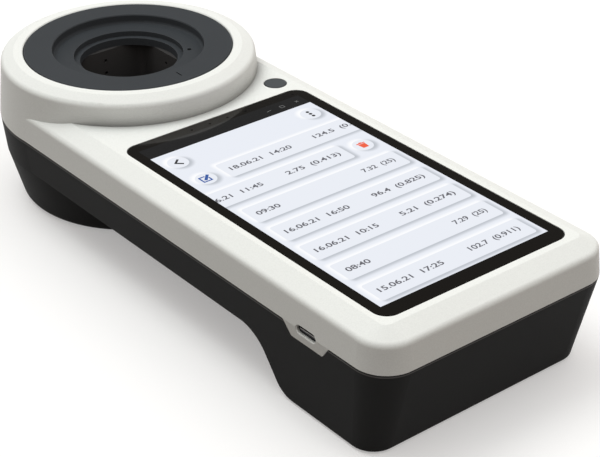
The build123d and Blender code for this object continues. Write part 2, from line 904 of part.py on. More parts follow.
with BuildPart() as display_socket:
    add(slab(0, board_front + socket_length, socket_width, socket_length,
             board_top_z, board_top_z + socket_height))
display_socket.part.label = "display_socket"
export_step(display_socket.part, "parts/display_socket.step")

# Flat ribbon from the tray down to its socket
with BuildPart() as display_ribbon:
    ribbon_top = tray_z - ribbon_thickness
    ribbon_end = board_top_z + socket_height + ribbon_thickness / 2
    with BuildSketch(Plane.YZ.offset(-ribbon_width / 2)):
        with BuildLine():
            Polyline(
                (board_front - ribbon_reach, ribbon_top), (board_front, ribbon_top),
                (board_front + socket_length / 2, ribbon_end), (socket_end, ribbon_end),
            )
        trace(line_width=ribbon_thickness)
    extrude(amount=ribbon_width)
display_ribbon.part.label = "display_ribbon"
export_step(display_ribbon.part, "parts/display_ribbon.step")

# Power pack of two cells in a sleeve, on a pad, under a strap
with BuildPart() as power_pack:
    with BuildSketch(Plane.YZ.offset(-pack_length / 2)):
        with Locations((pack_y, pack_z)):
            SlotOverall(pack_width, pack_diameter)
    extrude(amount=pack_length)
power_pack.part.label = "power_pack"
export_step(power_pack.part, "parts/power_pack.step")

with BuildPart() as pack_pad:
    add(slab(0, pack_y, pad_length, pack_width - pack_diameter, inner_floor_z,
             inner_floor_z + pad_thickness))
pack_pad.part.label = "pack_pad"
export_step(pack_pad.part, "parts/pack_pad.step")

with BuildPart() as pack_strap:
    add(slab(0, (strap_front + strap_back) / 2, strap_width,
             strap_back - strap_front + small_post - 2 * fit_gap,
             strap_z, strap_z + strap_thickness, strap_corner))
    cut_bores(strap_screw_places, strap_z - past, strap_z + strap_thickness + past, small_passage)
pack_strap.part.label = "pack_strap"
export_step(pack_strap.part, "parts/pack_strap.step")

with BuildPart() as strap_screws:
    small_screws(strap_screw_places, strap_z + strap_thickness, strap_thickness + small_screw_bite)
strap_screws.part.label = "strap_screws"
export_step(strap_screws.part, "parts/strap_screws.step")

# Charging port: sheet receptacle, tongue, board, screws and a soft collar
with BuildPart() as port_receptacle:
    add(port_prism(port_width, port_height, port_x, port_depth))
    add(port_prism(mouth_width, mouth_height, port_x - past, port_cavity + past),
        mode=Mode.SUBTRACT)
port_receptacle.part.label = "port_receptacle"
export_step(port_receptacle.part, "parts/port_receptacle.step")

with BuildPart() as port_tongue:
    tongue_x = port_x + port_cavity - tongue_length / 2
    add(slab(tongue_x, port_y, tongue_length, tongue_width, port_z - tongue_thickness / 2,
             port_z + tongue_thickness / 2))
port_tongue.part.label = "port_tongue"
export_step(port_tongue.part, "parts/port_tongue.step")

with BuildPart() as port_board:
    add(slab(port_board_x + port_board_length / 2, port_y, port_board_length, port_board_width,
             shelf_z, port_board_top))
    cut_bores(port_screw_places, shelf_z - past, port_board_top + past, small_passage)
port_board.part.label = "port_board"
export_step(port_board.part, "parts/port_board.step")

with BuildPart() as port_screws:
    small_screws(port_screw_places, port_board_top, port_board_thickness + thin_screw_bite)
port_screws.part.label = "port_screws"
export_step(port_screws.part, "parts/port_screws.step")

with BuildPart() as port_gasket:
    collar_x = wall - half_width + gasket_gap
    collar_length = port_board_x - collar_x - fit_gap
    add(port_prism(port_width + 2 * gasket_rim, port_height + 2 * gasket_rim,
                   collar_x, collar_length))
    add(port_prism(port_width + 2 * screw_gap, port_height + 2 * screw_gap,
                   collar_x, collar_length), mode=Mode.SUBTRACT)
port_gasket.part.label = "port_gasket"
export_step(port_gasket.part, "parts/port_gasket.step")

# Power button with the collar that keeps it in, and the plunger of its switch
with BuildPart() as power_button:
    add(pillar(button_x, button_y, collar_top_z, deck_z + button_proud, button_diameter))
    fillet(power_button.edges().group_by(Axis.Z)[-1], button_edge)
    add(pillar(button_x, button_y, collar_under_z, collar_top_z,
               button_diameter + 2 * button_collar))
power_button.part.label = "power_button"
export_step(power_button.part, "parts/power_button.step")

with BuildPart() as switch_plunger:
    add(pillar(button_x, button_y, plunger_under_z, collar_under_z, plunger_diameter))
switch_plunger.part.label = "switch_plunger"
export_step(switch_plunger.part, "parts/switch_plunger.step")

with BuildPart() as switch_housing:
    add(slab(button_x, button_y, switch_size, switch_size, switch_board_z, switch_top_z))
    hole_floor = plunger_under_z - button_travel - plunger_clearance
    add(pillar(button_x, button_y, hole_floor, switch_top_z + past,
               plunger_diameter + 2 * plunger_clearance), mode=Mode.SUBTRACT)
switch_housing.part.label = "switch_housing"
export_step(switch_housing.part, "parts/switch_housing.step")

with BuildPart() as switch_board:
    board_under = switch_board_z - switch_board_thickness
    add(slab(button_x, button_y, switch_post_spacing + small_post, switch_board_width,
             board_under, switch_board_z, board_corner))
    cut_bores(switch_screw_places, board_under - past, switch_board_z + past, small_passage)
switch_board.part.label = "switch_board"
export_step(switch_board.part, "parts/switch_board.step")

with BuildPart() as switch_screws:
    small_screws(switch_screw_places, switch_board_z - switch_board_thickness,
                 switch_board_thickness + small_screw_bite, up=True)
switch_screws.part.label = "switch_screws"
export_step(switch_screws.part, "parts/switch_screws.step")

# Head ring: flush rim, dished seat for adapters and the round mouth of the well
with BuildPart() as head_ring:
    with BuildSketch(Plane.XZ) as ring_profile:
        with BuildLine():
            Polyline(
                (well_radius, ring_z), (well_radius, seat_z), (seat_radius, seat_z),
                (seat_radius, recess_z), (recess_radius, recess_z), (recess_radius, head_z),
                (ring_radius, head_z), (ring_radius, flange_z), (flange_radius, flange_z),
                (flange_radius, flange_under_z), (ring_radius, flange_under_z),
                (ring_radius, ring_z), close=True,
            )
        make_face()
        corners = ring_profile.vertices()
        foot = corners.filter_by(lambda v: abs(v.X - recess_radius) < near and v.Y < head_z - near)
        fillet(foot, recess_fillet)
        rims = ring_profile.vertices().filter_by(lambda v: v.Y > head_z - near)
        chamfer(rims, ring_bevel)
    revolve(axis=Axis.Z)
    # Marks: a tick towards the user and an orientation dot in the seat
    with BuildSketch(Plane.XY.offset(head_z - mark_depth)):
        with Locations((0, tick_inset - ring_radius)):
            Rectangle(tick_width, tick_length)
    extrude(amount=2 * mark_depth, mode=Mode.SUBTRACT)
    dot_radius = recess_radius - dot_inset
    dot_place = (dot_radius * cos(radians(dot_angle)), dot_radius * sin(radians(dot_angle)))
    add(pillar(*dot_place, recess_z - mark_depth, recess_z + mark_depth, dot_diameter),
        mode=Mode.SUBTRACT)
    cut_bores(ring_screw_places, ring_z, flange_z + past, small_passage)
    cut_bores(chamber_screw_places, ring_z - past, ring_z + small_screw_bite + tip_gap,
              small_pilot)
head_ring.part.label = "head_ring"
export_step(head_ring.part, "parts/head_ring.step")

with BuildPart() as ring_gasket:
    add(pillar(0, 0, flange_z, lid_z, 2 * flange_radius))
    add(pillar(0, 0, flange_z, lid_z, 2 * opening_radius), mode=Mode.SUBTRACT)
    cut_bores(ring_screw_places, flange_z, lid_z, small_passage)
ring_gasket.part.label = "ring_gasket"
export_step(ring_gasket.part, "parts/ring_gasket.step")

with BuildPart() as ring_screws:
    small_screws(ring_screw_places, flange_under_z,
                 ring_flange_thickness + gasket_thickness + small_screw_bite, up=True)
ring_screws.part.label = "ring_screws"
export_step(ring_screws.part, "parts/ring_screws.step")

# Measuring chamber: square well with pinholes for the light beams
with BuildPart() as optical_chamber:
    add(slab(0, 0, 2 * chamber_half, 2 * chamber_half, chamber_under_z, chamber_flange_z,
             chamber_corner))
    add(pillar(0, 0, chamber_flange_z, ring_z, 2 * chamber_flange))
    add(slab(0, 0, chamber_side, chamber_side, chamber_floor_z, ring_z + past, chamber_corner),
        mode=Mode.SUBTRACT)
    for name, turn, heights, filling in beams:
        add(beam_bores(turn, heights, chamber_side / 2 - past, chamber_wall + 2 * past, pinhole),
            mode=Mode.SUBTRACT)
        add(beam_bores(turn, heights, chamber_half - window_thickness, window_thickness + past,
                       window_diameter),
            mode=Mode.SUBTRACT)
        add(beam_screw_bores(turn, chamber_half - small_screw_bite - tip_gap, chamber_wall,
                             small_pilot), mode=Mode.SUBTRACT)
    cut_bores(chamber_screw_places, chamber_flange_z - past, ring_z + past, small_passage)
optical_chamber.part.label = "optical_chamber"
export_step(optical_chamber.part, "parts/optical_chamber.step")

with BuildPart() as chamber_screws:
    small_screws(chamber_screw_places, chamber_flange_z,
                 chamber_flange_thickness + small_screw_bite, up=True)
chamber_screws.part.label = "chamber_screws"
export_step(chamber_screws.part, "parts/chamber_screws.step")

with BuildPart() as chamber_pad:
    pad_side = 2 * (chamber_half - chamber_pad_margin)
    add(slab(0, 0, pad_side, pad_side, inner_floor_z, chamber_under_z))
chamber_pad.part.label = "chamber_pad"
export_step(chamber_pad.part, "parts/chamber_pad.step")

# Small glass windows in the outer ends of the pinholes
with BuildPart() as light_windows:
    for name, turn, heights, filling in beams:
        add(beam_bores(turn, heights, chamber_half - window_thickness, window_thickness,
                       window_diameter - 2 * screw_gap))
light_windows.part.label = "light_windows"
export_step(light_windows.part, "parts/light_windows.step")

# Holder and board of each beam
for name, turn, heights, filling in beams:
    with BuildPart() as holder:
        with BuildSketch(beam_plane(turn, chamber_half)):
            with Locations((0, holder_z)):
                Rectangle(holder_width, holder_height)
        extrude(amount=holder_depth)
        add(beam_bores(turn, heights, chamber_half, holder_depth,
                       emitter_diameter + 2 * fit_gap), mode=Mode.SUBTRACT)
        add(beam_screw_bores(turn, chamber_half, holder_depth, small_passage), mode=Mode.SUBTRACT)
    holder.part.label = f"{name}_holder"
    export_step(holder.part, f"parts/{name}_holder.step")

    with BuildPart() as beam_board:
        with BuildSketch(beam_plane(turn, beam_board_distance)):
            with Locations((0, beam_board_z)):
                Rectangle(beam_board_width, beam_board_height)
        extrude(amount=beam_board_thickness)
        add(beam_screw_bores(turn, beam_board_distance, beam_board_thickness, small_passage),
            mode=Mode.SUBTRACT)
    beam_board.part.label = f"{name}_board"
    export_step(beam_board.part, f"parts/{name}_board.step")

with BuildPart() as light_sources:
    for name, turn, heights, filling in beams:
        if filling == "led":
            add(beam_bores(turn, heights, beam_board_distance - emitter_length, emitter_length,
                           emitter_diameter))
    fillet(light_sources.edges().group_by(Axis.Y)[0], emitter_dome)
light_sources.part.label = "light_sources"
export_step(light_sources.part, "parts/light_sources.step")

with BuildPart() as photodiodes:
    for name, turn, heights, filling in beams:
        if filling == "photodiode":
            add(beam_bores(turn, heights, beam_board_distance - receiver_length, receiver_length,
                           emitter_diameter))
photodiodes.part.label = "photodiodes"
export_step(photodiodes.part, "parts/photodiodes.step")

with BuildPart() as beam_screws:
    for name, turn, heights, filling in beams:
        board_face = beam_plane(turn, beam_board_distance + beam_board_thickness)
        for side in (-1, 1):
            seat = board_face.from_local_coords((side * beam_screw_spacing / 2, holder_z, 0))
            add(screw_solid(seat, board_face.z_dir * -1, small_screw, small_screw_head,
                            small_screw_head_height,
                            beam_board_thickness + holder_depth + small_screw_bite))
beam_screws.part.label = "beam_screws"
export_step(beam_screws.part, "parts/beam_screws.step")
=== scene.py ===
"""Looks of a bench photometer: finishes, lit display, floor, studio light and camera.

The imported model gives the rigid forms. This script gives each of them a finish and adds
what the display shows, the windows of its sensors, the ink of two marks and the tip of
the port's tongue. Metres, in the frame of the model, where no other unit is named.
"""
import json
import math
import bmesh
import bpy
from mathutils import Matrix, Vector

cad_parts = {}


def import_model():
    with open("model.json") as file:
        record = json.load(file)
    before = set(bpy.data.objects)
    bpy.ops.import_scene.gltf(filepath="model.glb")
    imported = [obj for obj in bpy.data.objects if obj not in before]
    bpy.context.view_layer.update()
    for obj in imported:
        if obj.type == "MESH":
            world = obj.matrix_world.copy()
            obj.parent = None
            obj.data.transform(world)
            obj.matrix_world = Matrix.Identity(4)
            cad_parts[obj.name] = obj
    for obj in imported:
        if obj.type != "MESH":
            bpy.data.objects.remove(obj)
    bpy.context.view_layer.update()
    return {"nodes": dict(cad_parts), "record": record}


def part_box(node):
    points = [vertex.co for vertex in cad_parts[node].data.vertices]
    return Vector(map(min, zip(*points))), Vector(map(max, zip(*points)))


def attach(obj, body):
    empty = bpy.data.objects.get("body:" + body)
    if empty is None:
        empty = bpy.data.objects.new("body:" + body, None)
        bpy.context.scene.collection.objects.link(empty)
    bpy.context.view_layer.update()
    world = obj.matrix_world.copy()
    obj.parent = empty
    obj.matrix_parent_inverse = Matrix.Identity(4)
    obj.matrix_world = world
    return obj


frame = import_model()
nodes = frame["nodes"]
mm = 0.001

# Cover glass: what the display shows is drawn about the middle of its face
glass_low, glass_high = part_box("cover_glass")
glass_middle = Vector(((glass_low.x + glass_high.x) / 2, (glass_low.y + glass_high.y) / 2, glass_high.z))

# Camera: its place, angles in degrees, lens and sensor in millimetres, and how near and far it sees
camera_place = Vector((-0.29901, -0.47003, 0.30151))
camera_azimuth = -38.496
camera_elevation = 30.233
camera_roll = -0.381
camera_lens = 105.62
camera_sensor = 36.0
camera_near, camera_far = 0.01, 20.0

# Lit area of the display, from the middle of the glass, in millimetres
lit_left, lit_right = -32.4, 31.9
lit_front, lit_back = -57.7, 52.1
bar_back = 58.75

# How far the signs rise over the glass, the sheet under them by half of that, and how far it sinks in
lift = 0.02 * mm
sink = 0.005 * mm

# Cards on the display: rows, sides and corners, in millimetres
row_first = 31.35
row_pitch = 13.73
card_height = 9.7
card_corner = 1.1
card_left, card_right = -29.9, 29.7

# The first card runs out of the display at its right and the second at its left
first_left = -19.25
second_right = 18.7
past_display = 60.0

# Round spots with signs, in millimetres
spot_radius = 3.5
spots = {"back": (-26.8, 45.0), "menu": (26.5, 45.2), "edit": (-26.2, 31.0), "bin": (25.5, 17.5)}

# Soft light and gloom round the cards: where they fall and where they fade, in millimetres
face_fade = (-0.12, 0.05)
shine_shift, shine_fade = (-0.75, 0.85), (-0.9, 1.2)
gloom_shift, gloom_fade = (0.65, -0.75), (-0.7, 1.4)

# Colours of the display
ground_colour = (0.818, 0.848, 0.915)
gloom_colour = (0.52, 0.55, 0.60)
shine_colour = (0.98, 0.985, 1.0)
card_colour = (0.822, 0.850, 0.912)
bar_colour = (0.0105, 0.0105, 0.0108)
unlit_colour = (0.004, 0.004, 0.004, 1)
figure_colour = (0.13, 0.13, 0.15)
sign_dark, sign_grey = (0.03, 0.03, 0.032), (0.16, 0.16, 0.16)
sign_blue, sign_red = (0.035, 0.10, 0.36), (0.86, 0.11, 0.045)
ink_swing = 0.08

# Figures: height, how much their strokes are widened, and their usual ends, in millimetres
figure_height = 3.05
stroke_gain = 0.06
label_left = -27.4
reading_right = 26.75

# Figures of the two cards that run out of the display, in millimetres
first_label_left = first_left + 2.5
first_reading_left = 16.75
second_label_right = -14.75
second_reading_right = 16.1

# Rows of figures: label and its width, reading and its width, in millimetres
rows = (
    ("18.06.21  14:20", 24.0, "124.5  (0.305)", 22.5),
    ("17.06.21  11:45", 24.0, "2.75  (0.413)", 21.2),
    ("09:30", 8.6, "7.32  (25)", 12.8),
    ("16.06.21  16:50", 24.0, "96.4  (0.825)", 20.6),
    ("16.06.21  10:15", 23.5, "5.21  (0.274)", 21.5),
    ("08:40", 8.6, "7.29  (25)", 12.8),
    ("15.06.21  17:25", 24.0, "102.7  (0.911)", 19.6),
)

# Windows of the sensors in the band behind the display, in millimetres
sensor_columns = (-10.5, -3.3, 3.9, 11.2)
sensor_row = 60.4
sensor_radius = 0.45
side_sensor = (30.9, 60.3)
side_sensor_radius = 0.4

# Split of the housing: its height, and how far below it the line of painted highlight runs and how wide
# it is
split_height = 31.1 * mm
highlight_drop = 0.75 * mm
highlight_width = 0.6 * mm

# Port: how far the tip of its tongue reaches out, and how wide its bevelled edges are, which are painted
# pale as a highlight, in millimetres
tongue_reach = 1.75
tongue_edge = 0.14

# Marks in the ring: tick on its face and dot in its recess, in millimetres
mark_depth = 0.3
mark_fill = 0.06
tick_middle = (0.0, -30.2)
tick_half = (0.24, 1.69)
dot_middle = (18.1, -10.45)
dot_radius = 0.79
recess_depth = 3.2
disc_corners = 24

# Noise in the finishes: detail and roughness of a fine grain, where its values lie, swing of the gloss
grain_noise = (3.0, 0.6)
usual_noise = (0.3, 0.7)
rough_swing = 0.06
coat_roughness = 0.1

# Edges lighter as rubbed wear and as a painted highlight: how far a face turns, where wear is uneven, and
# its least share
edge_turn = (0.995, 0.85)
edge_samples = 4
wear_noise = (0.35, 0.6)
wear_least = 0.5

# Painted shade in creases: reach, share of open sky, and the part of the painted shade that a level face
# gets
crease_shade_reach = 8 * mm
crease_shade_samples = 6
crease_shade_open = (0.45, 0.88)
level_from, level_full = 0.2, 0.9
level_shade_share = 0.6

# Smears on glass: size, detail, roughness of the noise, where its values lie, and the gloss
smear_noise = (22 * mm, 4.0, 0.65)
smear_values = (0.35, 0.7)
smear_gloss = (0.04, 0.12)

# Print behind the glass, cells of the lit panel, and how much their faces mirror
print_size = 0.3 * mm
glass_print = ((0.0068, 0.0058, 0.0046), (0.0100, 0.0088, 0.0072))
cell_size = 0.25 * mm
glass_specular = 0.28
sheet_specular = 0.35
ink_specular = 0.2

# Floor: what the camera and mirrors see of it, its glow for them, and what soft light meets
floor_size = 6.0
floor_cells = 8
floor_patch = 0.2
floor_shown = ((0.71, 0.71, 0.71), (0.73, 0.73, 0.73))
floor_glow = (0.32, 0.32, 0.32)
floor_hidden = (0.09, 0.085, 0.08)
floor_roughness = 0.9

# Dome: level at the horizon and overhead, swing to its bright side, colours low down and overhead
dome_low, dome_high = 0.185, 1.13
dome_swing = 0.25
dome_bright_side = (0.75, 0.3, 0.0)
dome_warm, dome_cool = (1.20, 0.96, 0.80), (0.965, 1.0, 1.015)
dome_turn = (0.1, 0.95)

# What mirrors see of the dome: white low down, then a dark ceiling
mirror_fade = (0.22, 0.45)
mirror_ceiling = 0.09

# Lamp: what it aims at, where it stands from there, distance and size in metres, share of white
lamp_aim = Vector((0, -0.07, 0.04))
lamp_from = (-0.15, 0.35, 1.0)
lamp_distance, lamp_size = 2.0, 1.0
lamp_level = 0.33
lamp_colour = (0.98, 1.0, 0.98)

black = (0.0, 0.0, 0.0)
white = (1, 1, 1, 1)


def node(tree, kind, inputs=None, **settings):
    """Adds a node. Each value in inputs is a number, a colour or a socket to link."""
    made = tree.nodes.new(kind)
    for key, value in settings.items():
        setattr(made, key, value)
    for key, value in (inputs or {}).items():
        socket = made.inputs[key]
        if isinstance(value, bpy.types.NodeSocket):
            tree.links.new(value, socket)
        else:
            socket.default_value = value
    return made


def math_node(tree, operation, *values):
    """Adds a maths node and returns its result."""
    return node(tree, "ShaderNodeMath", dict(enumerate(values)), operation=operation).outputs[0]


def vector_node(tree, operation, *values):
    """Adds a vector maths node and returns the node."""
    return node(tree, "ShaderNodeVectorMath", dict(enumerate(values)), operation=operation)


def mix_colour(tree, factor, first, second):
    """Adds a colour mix and returns its result."""
    sockets = {"Factor": factor}
    # Names repeat among the sockets of this node, so the two colours go by their numbers
    for number, value in ((6, first), (7, second)):
        sockets[number] = value if isinstance(value, bpy.types.NodeSocket) else (*value, 1.0)
    return node(tree, "ShaderNodeMix", sockets, data_type="RGBA").outputs[2]


def map_range(tree, value, from_low, from_high, to_low=0.0, to_high=1.0, smooth=False):
    """Maps a value to a range, clamped, and returns its result."""
    made = node(tree, "ShaderNodeMapRange", {
        "Value": value, "From Min": from_low, "From Max": from_high, "To Min": to_low, "To Max": to_high,
    }, interpolation_type="SMOOTHSTEP" if smooth else "LINEAR", clamp=True)
    return made.outputs[0]


def noise(tree, place, size, detail=2.0, roughness=0.5):
    """Noise with features of about that size in metres. Returns its value from 0 to 1."""
    made = node(tree, "ShaderNodeTexNoise", {
        "Vector": place, "Scale": 1 / size, "Detail": detail, "Roughness": roughness,
    })
    return made.outputs["Fac"]


def own_place(tree):
    """The place on the piece, in metres in its own frame."""
    return node(tree, "ShaderNodeTexCoord").outputs["Object"]


def face_normal(tree):
    """The direction in which the face looks."""
    return node(tree, "ShaderNodeNewGeometry").outputs["Normal"]


def shade(colour, share):
    """The colour with each channel times share."""
    return tuple(channel * share for channel in colour)


def new_material(name):
    """A material with one Principled shader. Returns the material, its tree and the shader."""
    material = bpy.data.materials.new(name)
    material.use_nodes = True
    tree = material.node_tree
    tree.nodes.clear()
    out = node(tree, "ShaderNodeOutputMaterial")
    shader = node(tree, "ShaderNodeBsdfPrincipled")
    tree.links.new(shader.outputs["BSDF"], out.inputs["Surface"])
    return material, tree, shader


def relief(tree, shader, height, depth):
    """Gives the surface a relief of that depth."""
    bump = node(tree, "ShaderNodeBump", {"Strength": 1.0, "Distance": depth, "Height": height})
    tree.links.new(bump.outputs[0], shader.inputs["Normal"])


def rub_and_highlight_edges(tree, base, colour, edge, radius, broad):
    """The base colour, lighter by edge where the surface turns sharply, and unevenly so: rubbed wear and
    a painted highlight.
    """
    soft = node(tree, "ShaderNodeBevel", {"Radius": radius}, samples=edge_samples).outputs[0]
    turn = vector_node(tree, "DOT_PRODUCT", soft, face_normal(tree)).outputs["Value"]
    rub_and_highlight = map_range(tree, turn, *edge_turn)
    wear = map_range(tree, broad, *wear_noise, wear_least, 1.0)
    light = tuple(min(1.0, channel + edge) for channel in colour)
    return mix_colour(tree, math_node(tree, "MULTIPLY", rub_and_highlight, wear), base, light)


def paint_crease_shade(tree, base, crease_shade):
    """The base colour with painted shade: darker by the given share where the piece hides the sky, less
    on level faces.
    """
    open_share = node(tree, "ShaderNodeAmbientOcclusion", {"Distance": crease_shade_reach},
                      samples=crease_shade_samples, only_local=True).outputs["AO"]
    painted_shade = map_range(tree, open_share, *crease_shade_open, crease_shade, 0.0)
    rise = node(tree, "ShaderNodeSeparateXYZ", {0: face_normal(tree)}).outputs[2]
    part = map_range(tree, rise, level_from, level_full, 1.0, level_shade_share)
    return mix_colour(tree, math_node(tree, "MULTIPLY", painted_shade, part), base, black)


def paint_rim_highlight(tree, base, colour, rim_highlight):
    """The base colour, with a painted highlight: a line lighter by the given amount just under the split
    of the housing.
    """
    height = node(tree, "ShaderNodeSeparateXYZ", {0: own_place(tree)}).outputs[2]
    below = math_node(tree, "SUBTRACT", height, split_height - highlight_drop)
    away = math_node(tree, "ABSOLUTE", below)
    highlight_line = map_range(tree, away, highlight_width / 4, highlight_width / 2, 1.0, 0.0, smooth=True)
    return mix_colour(tree, highlight_line, base, tuple(channel + rim_highlight for channel in colour))


def finish(name, colour, rough, grain=0.5 * mm, depth=0.01 * mm, speckle=0.03, patches=0.03,
           patch_size=35 * mm, edge=0.0, edge_radius=0.4 * mm, crease_shade=0.0, rim_highlight=0.0,
           specular=0.25, metallic=0.0, coat=0.0, stretch=(1, 1, 1)):
    """A moulded, pressed or painted finish: grain, soft patches, edges lighter as rubbed wear and painted
    highlight, creases darker as painted shade.

    With a highlight amount for the rim, a line of painted highlight just under the split of the housing
    is lighter too.
    """
    material, tree, shader = new_material(name)
    place = node(tree, "ShaderNodeMapping", {"Vector": own_place(tree), "Scale": stretch}).outputs[0]
    fine = noise(tree, place, grain, *grain_noise)
    broad = noise(tree, place, patch_size)
    base = mix_colour(tree, fine, shade(colour, 1 - speckle), shade(colour, 1 + speckle))
    tone = map_range(tree, broad, *usual_noise, 1 - patches, 1 + patches)
    base = node(tree, "ShaderNodeVectorMath", {0: base, "Scale": tone}, operation="SCALE").outputs[0]
    # Edges lighter: rubbed wear and a painted highlight
    if edge:
        base = rub_and_highlight_edges(tree, base, colour, edge, edge_radius, broad)
    # Painted shade in the creases
    if crease_shade:
        base = paint_crease_shade(tree, base, crease_shade)
    # Painted highlight in a line under the split
    if rim_highlight:
        base = paint_rim_highlight(tree, base, colour, rim_highlight)
    tree.links.new(base, shader.inputs["Base Color"])
    gloss = map_range(tree, fine, *usual_noise, rough - rough_swing, rough + rough_swing)
    tree.links.new(gloss, shader.inputs["Roughness"])
    if depth:
        relief(tree, shader, fine, depth)
    shader.inputs["Specular IOR Level"].default_value = specular
    shader.inputs["Metallic"].default_value = metallic
    if coat:
        shader.inputs["Coat Weight"].default_value = coat
        shader.inputs["Coat Roughness"].default_value = coat_roughness
    return material


def board_finish(name, colour, copper):
    """A lacquered circuit board: copper tracks show through as a fine paler net."""
    track_pitch, track_height = 3 * mm, 0.03 * mm
    copper_share = 0.5
    stain_size, stain_share, stain_shade = 0.8 * mm, 0.25, 0.6
    gloss = (0.25, 0.4)
    material, tree, shader = new_material(name)
    place = own_place(tree)
    tracks = node(tree, "ShaderNodeTexBrick", {
        "Vector": place, "Scale": 1 / track_pitch, "Mortar Size": 0.06, "Brick Width": 0.9,
        "Row Height": 0.35, "Color1": (*black, 1), "Color2": (*black, 1), "Mortar": white,
    }).outputs["Fac"]
    base = mix_colour(tree, math_node(tree, "MULTIPLY", tracks, copper_share), colour, copper)
    fine = noise(tree, place, stain_size)
    stain = map_range(tree, fine, *usual_noise, 0.0, stain_share)
    base = mix_colour(tree, stain, base, shade(colour, stain_shade))
    tree.links.new(base, shader.inputs["Base Color"])
    relief(tree, shader, tracks, track_height)
    tree.links.new(map_range(tree, fine, *usual_noise, *gloss), shader.inputs["Roughness"])
    return material


def smear(tree, shader):
    """Polishes the surface, with faint smears."""
    smears = noise(tree, own_place(tree), *smear_noise)
    tree.links.new(map_range(tree, smears, *smear_values, *smear_gloss), shader.inputs["Roughness"])


def glass_finish(name):
    """Cover glass with black print behind it: near black, polished, with faint smears."""
    material, tree, shader = new_material(name)
    print_grain = noise(tree, own_place(tree), print_size)
    tree.links.new(mix_colour(tree, print_grain, *glass_print), shader.inputs["Base Color"])
    smear(tree, shader)
    shader.inputs["Specular IOR Level"].default_value = glass_specular
    return material


def clear_finish(name, colour):
    """Clear moulded lens material with faint flow lines."""
    gloss = (0.03, 0.12)
    flow_size, flow_detail, flow_shade = 1.2 * mm, 3.0, 0.85
    material, tree, shader = new_material(name)
    flow = noise(tree, own_place(tree), flow_size, flow_detail)
    base = mix_colour(tree, flow, colour, shade(colour, flow_shade))
    tree.links.new(base, shader.inputs["Base Color"])
    tree.links.new(map_range(tree, flow, *usual_noise, *gloss), shader.inputs["Roughness"])
    shader.inputs["Transmission Weight"].default_value = 0.8
    shader.inputs["IOR"].default_value = 1.5
    return material


# Where a finish has edge, its edges are lighter as rubbed wear and as a painted highlight
materials = {
    # Painted shade darkens the creases of the pale shell
    "shell_grey": finish("satin_pale_shell", (0.852, 0.878, 0.857), 0.5, grain=0.45 * mm,
                         depth=0.008 * mm, speckle=0.09, patches=0.012, patch_size=60 * mm,
                         crease_shade=0.92, specular=0.15),
    # The black shell's edges get rubbed wear and a painted highlight, and a painted highlight line runs
    # under the split
    "shell_black": finish("matt_black_shell", (0.0310, 0.0318, 0.0325), 0.6, grain=0.4 * mm,
                          depth=0.006 * mm, speckle=0.08, patches=0.05, edge=0.05, rim_highlight=0.12,
                          specular=0.04),
    "button_grey": finish("satin_grey_button", (0.075, 0.083, 0.089), 0.5, grain=0.3 * mm,
                          depth=0.006 * mm, speckle=0.06, edge=0.05, specular=0.1),
    "screen_glass": glass_finish("printed_cover_glass"),
    "display": finish("display_film", (0.02, 0.02, 0.022), 0.25, grain=1.0 * mm, depth=0.002 * mm),
    "ring_black": finish("satin_dark_ring", (0.047, 0.053, 0.0595), 0.55, grain=0.35 * mm,
                         depth=0.012 * mm, speckle=0.2, patches=0.05, edge=0.03, specular=0.1),
    "chamber_black": finish("dull_black_chamber", (0.058, 0.057, 0.057), 0.75, grain=0.3 * mm,
                            depth=0.02 * mm, speckle=0.2, specular=0.1),
    "foam": finish("open_foam", (0.06, 0.06, 0.06), 0.95, grain=0.8 * mm, depth=0.25 * mm,
                   speckle=0.4, specular=0.05),
    "seal_rubber": finish("seal_rubber", (0.03, 0.03, 0.031), 0.7, grain=0.3 * mm,
                          depth=0.02 * mm, speckle=0.15, specular=0.1),
    "feet_rubber": finish("feet_rubber", (0.025, 0.025, 0.026), 0.8, grain=0.5 * mm,
                          depth=0.04 * mm, speckle=0.2, specular=0.1),
    "sheet_steel": finish("pressed_sheet", (0.62, 0.62, 0.63), 0.35, grain=0.25 * mm,
                          depth=0.006 * mm, stretch=(0.08, 1, 1), edge=0.1, metallic=1.0),
    "port_steel": finish("drawn_port_sheet", (0.10, 0.115, 0.135), 0.35, grain=0.2 * mm,
                         depth=0.004 * mm, stretch=(0.1, 1, 1), edge=0.1, metallic=0.3),
    "screw_steel": finish("plated_screws", (0.52, 0.52, 0.54), 0.3, grain=0.15 * mm,
                          depth=0.004 * mm, edge=0.15, metallic=1.0),
    "board_green": board_finish("lacquered_board", (0.02, 0.12, 0.05), (0.10, 0.26, 0.08)),
    "chip_black": finish("moulded_chip", (0.02, 0.02, 0.021), 0.5, grain=0.2 * mm,
                         depth=0.01 * mm, speckle=0.2),
    "socket_white": finish("moulded_socket", (0.78, 0.76, 0.70), 0.45, grain=0.4 * mm,
                           depth=0.006 * mm, speckle=0.03),
    "ribbon_orange": finish("ribbon_film", (0.62, 0.27, 0.05), 0.3, grain=0.5 * mm,
                            depth=0.02 * mm, stretch=(1, 0.05, 0.05), speckle=0.2, coat=0.3),
    "pack_blue": finish("shrink_sleeve", (0.03, 0.08, 0.32), 0.3, grain=6 * mm,
                        depth=0.15 * mm, speckle=0.08, coat=0.4),
    "lens_clear": clear_finish("clear_lens", (0.9, 0.92, 0.95)),
}


def dress_nodes():
    """Gives each node of the model the finish of its slot, or its own."""
    own = {
        # The tongue's edges are painted pale as a highlight, so that its outline shows
        "port_tongue": finish("port_tongue_resin_painted_edge_highlight", (0.06, 0.06, 0.064), 0.4, grain=0.2 * mm,
                              depth=0.004 * mm, edge=0.9, edge_radius=0.25 * mm),
    }
    for part in frame["record"]["subparts"]:
        piece = nodes[part["node"]]
        piece.data.materials.clear()
        piece.data.materials.append(own.get(part["node"], materials[part["material_slot"]]))


